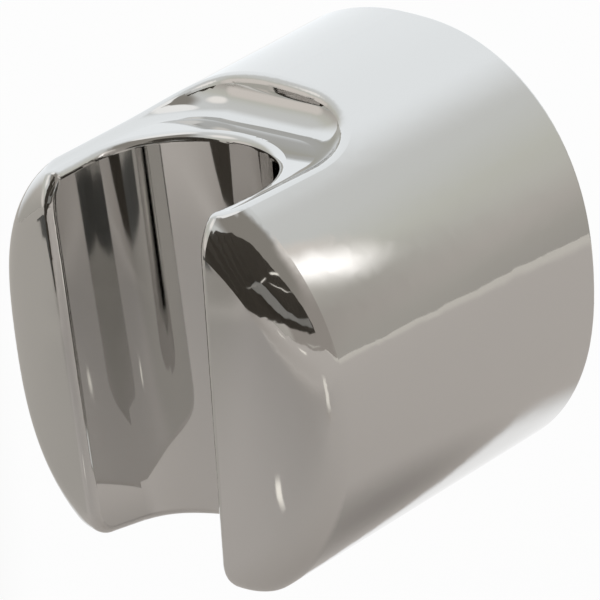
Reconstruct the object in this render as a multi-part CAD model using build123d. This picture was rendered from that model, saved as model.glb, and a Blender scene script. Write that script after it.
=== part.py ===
# Fixed wall holder for a hand shower. A polished oval barrel stands out from the wall and ends in
# a cradle: two arms round an upright tapered bore with an open throat for the hose. The barrel
# slips over a bracket that is screwed to the wall, and a set screw from below locks it there.
#
# Frame: origin on the wall at the barrel's axis, +Y into the wall, -Y out into the room, +Z up.
# A "reach" is a distance from the wall. All lengths are in millimetres, all angles in degrees.

from math import copysign, cos, hypot, radians, sin, tan
import os

from build123d import *

# Barrel, measured at the wall
body_width = 54.0
body_height = 58.7
body_squareness = 2.23
body_draft = 2.4
body_reach = 50.7
wall_edge_radius = 0.4

# Outline of the arms seen from above, and how far their front leans back towards its top
nose_margin = 0.45
arm_nose = 16.0
arm_squareness = 3.9
arm_blend = 5.4
front_lean = 1.4

# Underside of the cradle, rising towards the room
chin_reach = 28.0
chin_angle = 14.2
chin_blend = 4.2

# Top of the cradle
scoop_depth = 6.1
scoop_reach = 23.8
scoop_share = 0.593
scoop_corner = 10.0
scoop_fillet = 3.5

# Bore and throat, measured at the height of the barrel's axis
bore_reach = 41.7
bore_radius = 11.2
bore_taper = 1.7
throat_toe_in = 4.2
rim_radius = 1.1

# Hollow behind the cradle
shell_wall = 3.0
socket_depth = 15.0
core_depth = 22.5
core_width = 30.0
core_height = 30.0
core_corner = 7.0

# Wall bracket
bracket_clearance = 0.25
bracket_depth = 12.5
bracket_wall = 2.2
bracket_floor = 3.0
bracket_edge_radius = 0.8
fixing_spacing = 27.0
fixing_hole_radius = 2.4
fixing_head_radius = 4.6
fixing_boss_radius = 6.2
fixing_boss_height = 2.0
web_thickness = 2.0
pad_width = 11.0
pad_height = 8.5

# Set screw with a cone point and a hexagon socket
set_screw_reach = 7.0
set_screw_radius = 2.5
set_screw_length = 8.0
set_screw_recess = 0.6
set_screw_tip_radius = 0.8
set_screw_tip_length = 1.7
thread_clearance = 0.05
tip_clearance = 0.1
hexagon_size = 2.5
hexagon_depth = 3.0

# Modelling: points on an outline, how far a cutting shape stands out of what it cuts, and how
# near an edge must lie to the line that it is picked by
oval_points = 24
nose_points = 12
cut_margin = 10.0
pick_tolerance = 0.05


def oval(half_width, half_height, plane):
    """A little squarer than an ellipse: |x/a|^n + |z/b|^n = 1 with n the squareness."""
    power = 2 / body_squareness
    points = []
    for i in range(oval_points):
        turn = radians(360 * i / oval_points)
        c, s = -sin(turn), cos(turn)
        x = copysign(abs(c) ** power, c) * half_width
        z = copysign(abs(s) ** power, s) * half_height
        points.append((x, z))
    with BuildSketch(plane) as sketch:
        with BuildLine():
            Spline(*points, periodic=True)
        make_face()
    return sketch.sketch


def barrel_solid(margin, near, far):
    """Drafted oval barrel, smaller all round by margin, between two reaches."""
    rings = []
    for reach in (near, far):
        inset = margin + reach * tan(radians(body_draft))
        rings.append(oval(body_width / 2 - inset, body_height / 2 - inset, Plane.XZ.offset(reach)))
    return loft(rings, ruled=True)


def underside(reach):
    """Height of the barrel's lowest line at a reach."""
    return reach * tan(radians(body_draft)) - body_height / 2


def arm_plan():
    """Outline of barrel and arms seen from above: straight sides and a blunt rounded front."""
    half, shoulder = body_width / 2 + nose_margin, arm_nose - body_reach
    power = 2 / arm_squareness
    left = []
    for i in range(nose_points):
        turn = radians(90 * i / nose_points)
        c, s = cos(turn), sin(turn)
        left.append((-half * c**power, shoulder - arm_nose * s**power))
    right = [(-x, y) for x, y in reversed(left)]
    with BuildSketch() as sketch:
        with BuildLine():
            Spline(*left, (0, -body_reach), *right, tangents=((0, -1), (0, 1)))
            Polyline(right[-1], (half, cut_margin), (-half, cut_margin), left[0])
        make_face()
    return sketch.sketch


def chin_cut():
    """What is taken off below the cradle: everything under a plane that rises forward."""
    slope = tan(radians(chin_angle))
    back, front = cut_margin - chin_reach, -body_reach - cut_margin
    low = underside(chin_reach)
    outline = Polyline(
        (back, low - slope * (back + chin_reach)),
        (front, low - slope * (front + chin_reach)),
        (front, -body_height),
        (back, -body_height),
        close=True,
    )
    return extrude(Plane.YZ * make_face(outline), body_width, both=True)


def cradle_top():
    return body_height / 2 - scoop_depth


def scoop_cut():
    """What is taken off above the cradle, rounded at its rear corners and along its foot."""
    length = body_reach + cut_margin - scoop_reach
    middle = (0, -scoop_reach - length / 2, cradle_top() + body_height / 2)
    block = Pos(*middle) * Box(scoop_share * body_width, length, body_height)
    block = block.fillet(scoop_corner, block.edges().filter_by(Axis.Z).sort_by(Axis.Y)[-2:])
    foot = block.faces().sort_by(Axis.Z)[0].edges()
    return block.fillet(scoop_fillet, foot.filter_by(lambda e: e.center().Y > -body_reach))


def bore_size(z):
    return bore_radius + z * tan(radians(bore_taper))


def keyhole(z):
    """Outline of bore and throat at height z. The throat's sides lean in towards the room."""
    a = radians(throat_toe_in)
    r = bore_size(z)
    touch_x, touch_y = r * cos(a), -bore_reach - r * sin(a)
    front = -body_reach - cut_margin
    mouth_x = touch_x - (touch_y - front) * tan(a)
    with BuildSketch(Plane.XY.offset(z)) as sketch:
        with BuildLine():
            ThreePointArc((-touch_x, touch_y), (0, r - bore_reach), (touch_x, touch_y))
            Polyline((touch_x, touch_y), (mouth_x, front), (-mouth_x, front), (-touch_x, touch_y))
        make_face()
    return sketch.sketch


def on_rim(edge):
    """True for an edge where the bore or the throat breaks out of the cradle."""
    p = edge.position_at(0.5)
    r, a = bore_size(p.Z), radians(throat_toe_in)
    forward = -p.Y - bore_reach
    on_bore = abs(hypot(p.X, forward) - r) < pick_tolerance
    on_side = abs(abs(p.X) * cos(a) + forward * sin(a) - r) < pick_tolerance
    inside = edge.bounding_box().size.Z > body_height / 2 and forward < r / 2
    return (on_bore or on_side) and not inside


def outer_form():
    """Barrel and arms before anything is cut out of them."""
    plan = extrude(Plane.XY.offset(-body_height) * arm_plan(), 2 * body_height)
    plan = plan.rotate(Axis((0, -body_reach, 0), (1, 0, 0)), -front_lean)
    form = barrel_solid(0, 0, body_reach + cut_margin) & plan
    shoulder = form.edges().filter_by(lambda e: e.center().Y < arm_nose - body_reach)
    form = form.fillet(arm_blend, shoulder) - chin_cut()
    chin = form.faces().filter_by(GeomType.PLANE).sort_by(Axis.Z)[0]
    return form.fillet(chin_blend, chin.edges())


def holder_body():
    form = outer_form()
    form -= loft([keyhole(-body_height), keyhole(body_height)], ruled=True)
    form = form.fillet(rim_radius, form.edges().filter_by(on_rim))
    form -= scoop_cut()
    flat = form.faces().filter_by(lambda f: abs(f.center().Z - cradle_top()) < pick_tolerance)
    form = form.fillet(rim_radius, flat.sort_by(SortBy.AREA)[-1].edges().filter_by(on_rim))
    form = form.fillet(wall_edge_radius, form.edges().sort_by(Axis.Y)[-1:])
    form -= barrel_solid(shell_wall, -cut_margin, socket_depth)
    core = RectangleRounded(core_width, core_height, core_corner)
    form -= extrude(Plane.XZ * core, core_depth)
    hole = Cylinder(set_screw_radius + thread_clearance, body_height / 2)
    form -= Pos(0, -set_screw_reach, -body_height / 2) * hole
    return form


def screw_top():
    return underside(set_screw_reach) + set_screw_recess + set_screw_length


def set_screw():
    """Upright, its hexagon socket opening downwards."""
    shank = set_screw_length - set_screw_tip_length
    body = Pos(0, 0, shank / 2) * Cylinder(set_screw_radius, shank)
    tip = Cone(set_screw_radius, set_screw_tip_radius, set_screw_tip_length)
    body += Pos(0, 0, shank + set_screw_tip_length / 2) * tip
    body -= extrude(RegularPolygon(hexagon_size / 2, 6, major_radius=False), hexagon_depth)
    return Pos(0, -set_screw_reach, screw_top() - set_screw_length) * body


def screw_pocket():
    """Space for the set screw's point in the bracket, a little larger all round."""
    r = set_screw_radius + tip_clearance
    shank = set_screw_length - set_screw_tip_length
    tip = Cone(r, set_screw_tip_radius + tip_clearance, set_screw_tip_length)
    space = Pos(0, 0, shank / 2) * Cylinder(r, shank)
    space += Pos(0, 0, shank + set_screw_tip_length / 2) * tip
    return Pos(0, -set_screw_reach, screw_top() - set_screw_length + tip_clearance) * space


def wall_bracket():
    """Cup open towards the room, with a web, a pad for the set screw and two screw bosses."""
    margin = shell_wall + bracket_clearance
    form = barrel_solid(margin, 0, bracket_depth)
    form = form.fillet(bracket_edge_radius, form.edges().sort_by(Axis.Y)[:1])

    hollow = barrel_solid(margin + bracket_wall, bracket_floor, bracket_depth + cut_margin)
    hollow -= Box(web_thickness, 3 * bracket_depth, body_height)
    pad_top = margin + pad_height - body_height / 2
    hollow -= Pos(0, 0, pad_top - body_height / 2) * Box(pad_width, 3 * bracket_depth, body_height)
    lie = Rot(90, 0, 0)
    boss_reach = bracket_floor + fixing_boss_height
    sides = (-fixing_spacing / 2, fixing_spacing / 2)
    for x in sides:
        hollow -= Pos(x, 0, 0) * lie * Cylinder(fixing_boss_radius, 2 * boss_reach)
    form -= hollow

    sink = fixing_head_radius - fixing_hole_radius
    for x in sides:
        form -= Pos(x, 0, 0) * lie * Cylinder(fixing_hole_radius, 3 * boss_reach)
        cone = Cone(fixing_hole_radius, fixing_head_radius, sink)
        form -= Pos(x, sink / 2 - boss_reach, 0) * lie * cone
    return form - screw_pocket()


nodes = {
    "holder_body": holder_body(),
    "wall_bracket": wall_bracket(),
    "set_screw": set_screw(),
}
os.makedirs("parts", exist_ok=True)
for name, shape in nodes.items():
    print(name, round(shape.volume), shape.is_valid, len(shape.solids()))
    export_step(shape, f"parts/{name}.step")
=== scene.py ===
from math import cos, radians, sin

import bmesh
import bpy
from mathutils import Matrix, Vector

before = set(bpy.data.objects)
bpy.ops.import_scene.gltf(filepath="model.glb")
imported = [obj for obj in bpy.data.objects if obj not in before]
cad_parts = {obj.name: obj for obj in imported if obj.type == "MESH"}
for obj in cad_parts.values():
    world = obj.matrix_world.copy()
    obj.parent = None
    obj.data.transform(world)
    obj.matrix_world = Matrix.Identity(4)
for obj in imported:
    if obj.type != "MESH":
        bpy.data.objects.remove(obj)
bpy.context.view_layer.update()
print("frame loaded")

mm = 0.001


class Socket:
    # a node's output as a value in Python sums, each of which adds a Math node
    def __init__(self, tree, link):
        self.tree = tree
        self.link = link

    def math(self, operation, *values):
        return self.tree.add("ShaderNodeMath", {"operation": operation}, dict(enumerate(values)))

    def __add__(self, other):
        return self.math("ADD", self, other)

    def __radd__(self, other):
        return self.math("ADD", other, self)

    def __sub__(self, other):
        return self.math("SUBTRACT", self, other)

    def __rsub__(self, other):
        return self.math("SUBTRACT", other, self)

    def __mul__(self, other):
        return self.math("MULTIPLY", self, other)

    def __rmul__(self, other):
        return self.math("MULTIPLY", other, self)

    def __pow__(self, other):
        return self.math("POWER", self, other)

    def __rpow__(self, other):
        return self.math("POWER", other, self)


class Shader:
    # the node tree of a material or of the world
    def __init__(self, owner):
        owner.use_nodes = True
        self.nodes = owner.node_tree.nodes
        self.links = owner.node_tree.links
        self.nodes.clear()

    def add(self, kind, settings=None, sockets=None, output=0):
        node = self.nodes.new(kind)
        for key, value in (settings or {}).items():
            if key == "stops":
                self.setStops(node.color_ramp, value)
            else:
                setattr(node, key, value)
        for key, value in (sockets or {}).items():
            target = node.inputs[key]
            if isinstance(value, Socket):
                self.links.new(value.link, target)
            elif target.type == "RGBA":
                target.default_value = (*value, 1)
            else:
                target.default_value = value
        if node.outputs:
            return Socket(self, node.outputs[output])

    def setStops(self, ramp, stops):
        while len(ramp.elements) < len(stops):
            ramp.elements.new(0.5)
        for element, (place, colour) in zip(ramp.elements, stops):
            element.position = place
            element.color = (*colour, 1)

    def place(self):
        return self.add("ShaderNodeTexCoord", output="Object")

    def noise(self, place, scale, detail):
        sockets = {"Vector": place, "Scale": scale, "Detail": detail}
        return self.add("ShaderNodeTexNoise", None, sockets, "Fac")

    def measure(self, operation, first, second):
        # a number from two vectors
        sockets = {0: first, 1: second}
        return self.add("ShaderNodeVectorMath", {"operation": operation}, sockets, "Value")

    def smooth(self, value, low, high):
        # 0 below low, 1 above high, and a soft step between
        sockets = {"Value": value, "From Min": low, "From Max": high}
        return self.add("ShaderNodeMapRange", {"interpolation_type": "SMOOTHSTEP"}, sockets)

    def beyond(self, place, way, edge):
        # 0 nearer than the edge along a way, and 1 past it
        near, far = edge
        return self.smooth(self.measure("DOT_PRODUCT", place, way), near * mm, far * mm)

    def mix(self, factor, first, second):
        sockets = {0: factor, 6: first, 7: second}
        return self.add("ShaderNodeMix", {"data_type": "RGBA"}, sockets, 2)

    def finish(self, surface, kind="ShaderNodeOutputMaterial"):
        self.add(kind, None, {"Surface": surface})


def newMaterial(name):
    material = bpy.data.materials.new(name)
    return material, Shader(material)


def paint(node, material):
    # gives a CAD node its material
    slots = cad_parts[node].data.materials
    slots.clear()
    slots.append(material)


# Polished chrome of the body: nearly a mirror, with a patchy haze and a faint ripple
chrome = {
    "colour": (0.67, 0.665, 0.655),
    "roughness": 0.04,
    "haze": 0.05,
    "hazeScale": 160.0,
    "hazeDetail": 4.0,
    "hazePatchiness": 3.0,
    "rippleScale": 60.0,
    "rippleDetail": 1.0,
    "rippleHeight": 0.000012,  # metres
}


def chromeMaterial():
    material, tree = newMaterial("polishedChrome")
    place = tree.place()
    haze = tree.noise(place, chrome["hazeScale"], chrome["hazeDetail"]) ** chrome["hazePatchiness"]
    ripple = tree.noise(place, chrome["rippleScale"], chrome["rippleDetail"])
    bump = {"Height": ripple, "Strength": 1.0, "Distance": chrome["rippleHeight"]}
    metal = {
        "Base Color": chrome["colour"],
        "Metallic": 1.0,
        "Roughness": haze * chrome["haze"] + chrome["roughness"],
        "Normal": tree.add("ShaderNodeBump", None, bump),
    }
    tree.finish(tree.add("ShaderNodeBsdfPrincipled", None, metal))
    return material


# Turned brass of the bracket: a fine grain, and the lathe's rings round the barrel's axis
brass = {
    "bright": (0.74, 0.55, 0.28),
    "dull": (0.52, 0.37, 0.17),
    "roughness": 0.28,
    "grainRoughness": 0.12,
    "grainScale": 900.0,
    "grainDetail": 3.0,
    "grainShare": 0.6,
    "turningScale": 420.0,
    "turningWobble": 1.5,
    "turningShare": 0.4,
}


def brassMaterial():
    material, tree = newMaterial("turnedBrass")
    place = tree.place()
    grain = tree.noise(place, brass["grainScale"], brass["grainDetail"])
    turning = {"wave_type": "RINGS", "rings_direction": "Y"}
    rings = {"Vector": place, "Scale": brass["turningScale"], "Distortion": brass["turningWobble"]}
    rings = tree.add("ShaderNodeTexWave", turning, rings, "Fac")
    shine = grain * brass["grainShare"] + rings * brass["turningShare"]
    metal = {
        "Base Color": tree.mix(shine, brass["dull"], brass["bright"]),
        "Metallic": 1.0,
        "Roughness": grain * brass["grainRoughness"] + brass["roughness"],
    }
    tree.finish(tree.add("ShaderNodeBsdfPrincipled", None, metal))
    return material


# Plain steel of the set screw
steel = {
    "colour": (0.52, 0.52, 0.53),
    "roughness": 0.3,
    "grainRoughness": 0.1,
    "grainScale": 1200.0,
    "grainDetail": 2.0,
}


def steelMaterial():
    material, tree = newMaterial("screwSteel")
    grain = tree.noise(tree.place(), steel["grainScale"], steel["grainDetail"])
    metal = {
        "Base Color": steel["colour"],
        "Metallic": 1.0,
        "Roughness": grain * steel["grainRoughness"] + steel["roughness"],
    }
    tree.finish(tree.add("ShaderNodeBsdfPrincipled", None, metal))
    return material


paint("holder_body", chromeMaterial())
paint("wall_bracket", brassMaterial())
paint("set_screw", steelMaterial())
print("materials done")

# The photograph's camera. Its lengths are in units of the barrel's half width, the scale is the
# pixels to one unit at the aim, and the shifts move the aim in the picture's own directions.
lens = {
    "azimuth": 43.037,
    "elevation": 24.979,
    "roll": -5.603,
    "distance": 10.204,
    "unit": 27.0,
    "aim": (0, -1, 0),
    "shiftRight": 0.103,
    "shiftUp": 0.0535,
    "scale": 227.867,
    "pictureWidth": 600,
    "sensorWidth": 36,
    "clipStart": 0.01,  # metres
}


def direction(azimuth, elevation):
    # towards the side that a viewer at this azimuth and elevation stands on
    a, e = radians(azimuth), radians(elevation)
    return Vector((sin(a) * cos(e), -cos(a) * cos(e), sin(e)))


def addCamera():
    r = radians(lens["roll"])
    back = direction(lens["azimuth"], lens["elevation"])
    level = Vector((-back.y, back.x, 0)).normalized()
    upright = back.cross(level)
    right = cos(r) * level + sin(r) * upright
    up = cos(r) * upright - sin(r) * level
    target = lens["shiftRight"] * right + lens["shiftUp"] * up + Vector(lens["aim"])
    place = (target + lens["distance"] * back) * lens["unit"] * mm
    data = bpy.data.cameras.new("camera")
    data.sensor_fit = "HORIZONTAL"
    data.sensor_width = lens["sensorWidth"]
    data.lens = lens["scale"] * lens["distance"] / lens["pictureWidth"] * lens["sensorWidth"]
    data.clip_start = lens["clipStart"]
    camera = bpy.data.objects.new("camera", data)
    turn = Matrix((right, up, back)).transposed().to_4x4()
    camera.matrix_world = Matrix.Translation(place) @ turn
    bpy.context.scene.collection.objects.link(camera)
    bpy.context.scene.camera = camera


addCamera()
print("camera done")


def stageObject(name, mesh, material, seen=True):
    data = bpy.data.meshes.new(name)
    mesh.to_mesh(data)
    mesh.free()
    data.materials.append(material)
    thing = bpy.data.objects.new(name, data)
    thing.visible_camera = seen
    bpy.context.scene.collection.objects.link(thing)


# The table top is grey paper, with painted light along its far rim, painted shade towards the left
# and a painted shadow under the object. An edge gives the two distances along its way between
# which a tone fades in.
table = {
    "drop": 62.0,
    "outline": [(-350, -600), (1000, -600), (1000, 182), (20, 182), (-60, 320), (-350, 320)],
    "roughness": 0.9,
    "grey": (0.79, 0.735, 0.70),
    "paintedRimLight": (0.95, 0.90, 0.84),
    # painted light: a lighter band along the far rim
    "paintedRimLightWay": (0, 1, 0),
    "paintedRimLightEdge": (140.0, 165.0),
    # painted shade: darker towards the left
    "left": (0.66, 0.62, 0.58),
    "leftWay": (-1, 0, 0),
    "leftEdge": (45.0, 95.0),
    # painted shadow: a darker soft spot under the object
    "paintedShadow": (0.52, 0.48, 0.455),
    "paintedShadowMiddle": (26.0, 2.0, -62.0),
    "paintedShadowReach": 34.0,
}
# A white sheet lies on it behind the object. It glows for rays that show the background.
sheet = {
    "colour": (0.93, 0.93, 0.93),
    "along": (-0.68, 0.73, 0.0),  # the way the camera looks
    "near": (0.0, 8.0),
    "right": (0.825, 0.585, 0.0),
    "rightEdge": (28.0, 52.0),
    "left": (-0.66, -0.75, 0.0),
    "leftEdge": (54.0, 92.0),
    "glow": 0.94,
    "rays": ("Is Camera Ray", "Is Glossy Ray", "Is Transmission Ray"),
}


def addTable():
    material, tree = newMaterial("tablePaper")
    place = tree.place()
    # painted light along the far rim and painted shade towards the left
    paintedRimLight = tree.beyond(place, table["paintedRimLightWay"], table["paintedRimLightEdge"])
    left = tree.beyond(place, table["leftWay"], table["leftEdge"])
    # a painted shadow that fades out round a spot under the object
    paintedShadowMiddle = tuple(length * mm for length in table["paintedShadowMiddle"])
    fromPaintedShadow = tree.measure("DISTANCE", place, paintedShadowMiddle)
    paintedShadow = 1 - tree.smooth(fromPaintedShadow, 0, table["paintedShadowReach"] * mm)
    colour = tree.mix(paintedRimLight, table["grey"], table["paintedRimLight"])
    colour = tree.mix(left, colour, table["left"])
    colour = tree.mix(paintedShadow, colour, table["paintedShadow"])
    white = tree.beyond(place, sheet["along"], sheet["near"])
    for side in ("right", "left"):
        white = white * (1 - tree.beyond(place, sheet[side], sheet[side + "Edge"]))
    shown = sum(tree.add("ShaderNodeLightPath", output=ray) for ray in sheet["rays"])
    paper = {
        "Base Color": tree.mix(white, colour, sheet["colour"]),
        "Roughness": table["roughness"],
        "Specular IOR Level": 0.0,
    }
    paper = tree.add("ShaderNodeBsdfPrincipled", None, paper)
    glow = tree.add("ShaderNodeEmission", None, {"Color": (1, 1, 1), "Strength": 1.0})
    surface = {0: shown * white * sheet["glow"], 1: paper, 2: glow}
    tree.finish(tree.add("ShaderNodeMixShader", None, surface))
    mesh = bmesh.new()
    corners = (Vector((x, y, -table["drop"])) * mm for x, y in table["outline"])
    mesh.faces.new([mesh.verts.new(corner) for corner in corners])
    stageObject("tableTop", mesh, material)


# Dim panels in front of the object, which only the chrome sees. A post is an azimuth, and the
# elevations of the panel's foot and top there, as seen from the near arm.
nearArm = (20.0, -47.0, 16.0)
panels = {
    "dimRoom": {
        "away": 200.0,
        "colour": (0.07, 0.06, 0.048),
        "posts": [
            (-34, -21, -16), (-20, -20.5, 8), (-8, -17, 24), (0, -14, 36), (10, -10, 43),
            (20, -6.5, 48), (35, -2, 52), (50, 0, 53), (58, 1, 50), (62, 1, 45),
            (68, 1.5, 38), (75, 2, 31), (82, 2, 25), (90, 2, 15), (94, 2, 6),
        ],
    },
    "dimSide": {
        "away": 200.0,
        "colour": (0.16, 0.16, 0.155),
        "posts": [(-62, -18, -14), (-46, -20, -15), (-34, -21, -16)],
    },
    "dimShelf": {
        "away": 168.0,
        "colour": (0.34, 0.33, 0.31),
        "posts": [
            (10, 3, 4), (20, 5, 12), (30, 3, 17), (42, 3, 13), (52, 5, 9), (70, 5, 8), (92, 4, 9),
        ],
    },
}


def addPanel(name, panel):
    material, tree = newMaterial(name)
    dull = {"Base Color": panel["colour"], "Roughness": 1.0}
    tree.finish(tree.add("ShaderNodeBsdfPrincipled", None, dull))
    mesh = bmesh.new()
    feet = [(azimuth, foot) for azimuth, foot, top in panel["posts"]]
    tops = [(azimuth, top) for azimuth, foot, top in panel["posts"]]
    for ends in (feet, tops):
        places = (Vector(nearArm) + direction(*end) * panel["away"] for end in ends)
        chain = [mesh.verts.new(place * mm) for place in places]
        for pair in zip(chain, chain[1:]):
            mesh.edges.new(pair)
    bmesh.ops.bridge_loops(mesh, edges=mesh.edges[:])
    stageObject(name, mesh, material, seen=False)


# Soft lights, which only the chrome sees, as cards that face the near arm. A size is half the
# card's width and height, and the fade is the share of it over which the light fades out at the
# left, right, lower and upper rims.
plainCard = {"away": 158, "tilt": 0, "tint": (1.0, 0.96, 0.88), "fade": (0.3, 0.3, 0.4, 0.4)}
glowCards = {
    "halo": {
        "azimuth": 119.3, "elevation": 29.3, "away": 112, "size": (36, 44),
        "strength": 0.85, "tint": (1, 0.94, 0.88), "fade": (0.92, 0.08, 0.7, 0.23),
    },
    "core": {
        "azimuth": 133.4, "elevation": 23, "away": 110, "size": (8, 33),
        "strength": 1.9, "tint": (1, 0.98, 0.96), "fade": (0.5, 0.6, 0.45, 0.35),
    },
    "barGlint": {"azimuth": 66, "elevation": 33, "size": (28, 3.2), "tilt": 8, "strength": 1.2},
    "longGlint": {"azimuth": 64, "elevation": 23.5, "size": (60, 1.6), "strength": 0.9},
    "slantGlint": {"azimuth": 36, "elevation": 21, "size": (26, 1.6), "tilt": 33, "strength": 1.0},
    "faintGlint": {"azimuth": 12, "elevation": 5, "size": (52, 1.2), "tilt": 33, "strength": 0.35},
    "tableGlint": {"azimuth": 54, "elevation": -9.5, "size": (22, 2.6), "strength": 1.1},
    "lowGlint": {"azimuth": 23, "elevation": -11, "size": (16, 2.4), "strength": 0.9},
    "farGlint": {"azimuth": 80, "elevation": -4.5, "size": (50, 1.4), "strength": 0.6},
    "softPatch": {
        "azimuth": 83, "elevation": -22, "away": 150, "size": (13, 17),
        "strength": 0.95, "fade": (0.3, 0.3, 0.3, 0.3),
    },
    "lowSpark": {"azimuth": -14, "elevation": -38, "away": 105, "size": (4, 3), "strength": 1.2},
}


def addGlowCard(name, changes):
    card = {**plainCard, **changes}
    material, tree = newMaterial(name)
    uv = tree.add("ShaderNodeTexCoord", output="UV")
    left, right, lower, upper = card["fade"]
    shown = 1
    for axis, first, last in (("X", left, right), ("Y", lower, upper)):
        along = tree.add("ShaderNodeSeparateXYZ", None, {0: uv}, axis)
        shown = shown * tree.smooth(along, 0, first) * tree.smooth(along, 1, 1 - last)
    light = {"Color": card["tint"], "Strength": card["strength"]}
    glow = tree.add("ShaderNodeEmission", None, light)
    clear = tree.add("ShaderNodeBsdfTransparent")
    tree.finish(tree.add("ShaderNodeMixShader", None, {0: shown, 1: clear, 2: glow}))

    way = direction(card["azimuth"], card["elevation"])
    middle = (Vector(nearArm) + way * card["away"]) * mm
    level = Vector((-way.y, way.x, 0)).normalized()
    across = Matrix.Rotation(radians(card["tilt"]), 3, way) @ level
    turn = Matrix((across, way.cross(across), way)).transposed().to_4x4()
    width, height = card["size"]
    mesh = bmesh.new()
    mesh.loops.layers.uv.new("UVMap")
    bmesh.ops.create_grid(mesh, x_segments=1, y_segments=1, size=1, calc_uvs=True)
    bmesh.ops.scale(mesh, verts=mesh.verts, vec=(width * mm, height * mm, 1))
    bmesh.ops.transform(mesh, verts=mesh.verts, matrix=Matrix.Translation(middle) @ turn)
    stageObject(name, mesh, material, seen=False)


# The studio round it all. Its tones go by height, from 0 straight down to 1 straight up. A zone
# has its middle, as azimuth and elevation, the cosines of the angles from it between which it
# fades in, and its colour.
studio = {
    "tones": [
        (0.33, (0.42, 0.40, 0.37)),
        (0.43, (0.48, 0.46, 0.42)),
        (0.50, (0.56, 0.53, 0.49)),
        (0.59, (0.64, 0.63, 0.58)),
        (0.67, (0.67, 0.67, 0.61)),
        (0.785, (0.74, 0.75, 0.73)),
        (0.86, (0.76, 0.77, 0.76)),
        (0.95, (0.80, 0.82, 0.82)),
    ],
    "zones": {
        "corner": ((85, 8), (0.66, 0.80), (0.37, 0.34, 0.31)),
        "ceiling": ((68, 52), (0.70, 0.88), (0.31, 0.29, 0.26)),
        "overhead": ((0, 90), (0.945, 0.97), (1.15, 1.15, 1.14)),
        "window": ((-140.4, 25), (0.5, 0.8), (1.07, 1.11, 1.14)),
        "lamp": ((-28, 42), (0.955, 0.995), (1.12, 1.09, 1.05)),
        "doorway": ((-42, 5), (0.95, 0.995), (0.82, 0.77, 0.72)),
    },
}


def addWorld():
    world = bpy.data.worlds.new("studio")
    bpy.context.scene.world = world
    tree = Shader(world)
    way = tree.add("ShaderNodeTexCoord", output="Generated")
    height = tree.add("ShaderNodeSeparateXYZ", None, {0: way}, "Z") * 0.5 + 0.5
    colour = tree.add("ShaderNodeValToRGB", {"stops": studio["tones"]}, {0: height})
    for middle, edge, tone in studio["zones"].values():
        facing = tree.measure("DOT_PRODUCT", way, direction(*middle))
        colour = tree.mix(tree.smooth(facing, *edge), colour, tone)
    background = tree.add("ShaderNodeBackground", None, {"Color": colour, "Strength": 1.0})
    tree.finish(background, "ShaderNodeOutputWorld")


addTable()
for name, panel in panels.items():
    addPanel(name, panel)
for name, card in glowCards.items():
    addGlowCard(name, card)
addWorld()
bpy.context.scene.view_settings.view_transform = "Standard"
print("studio done")
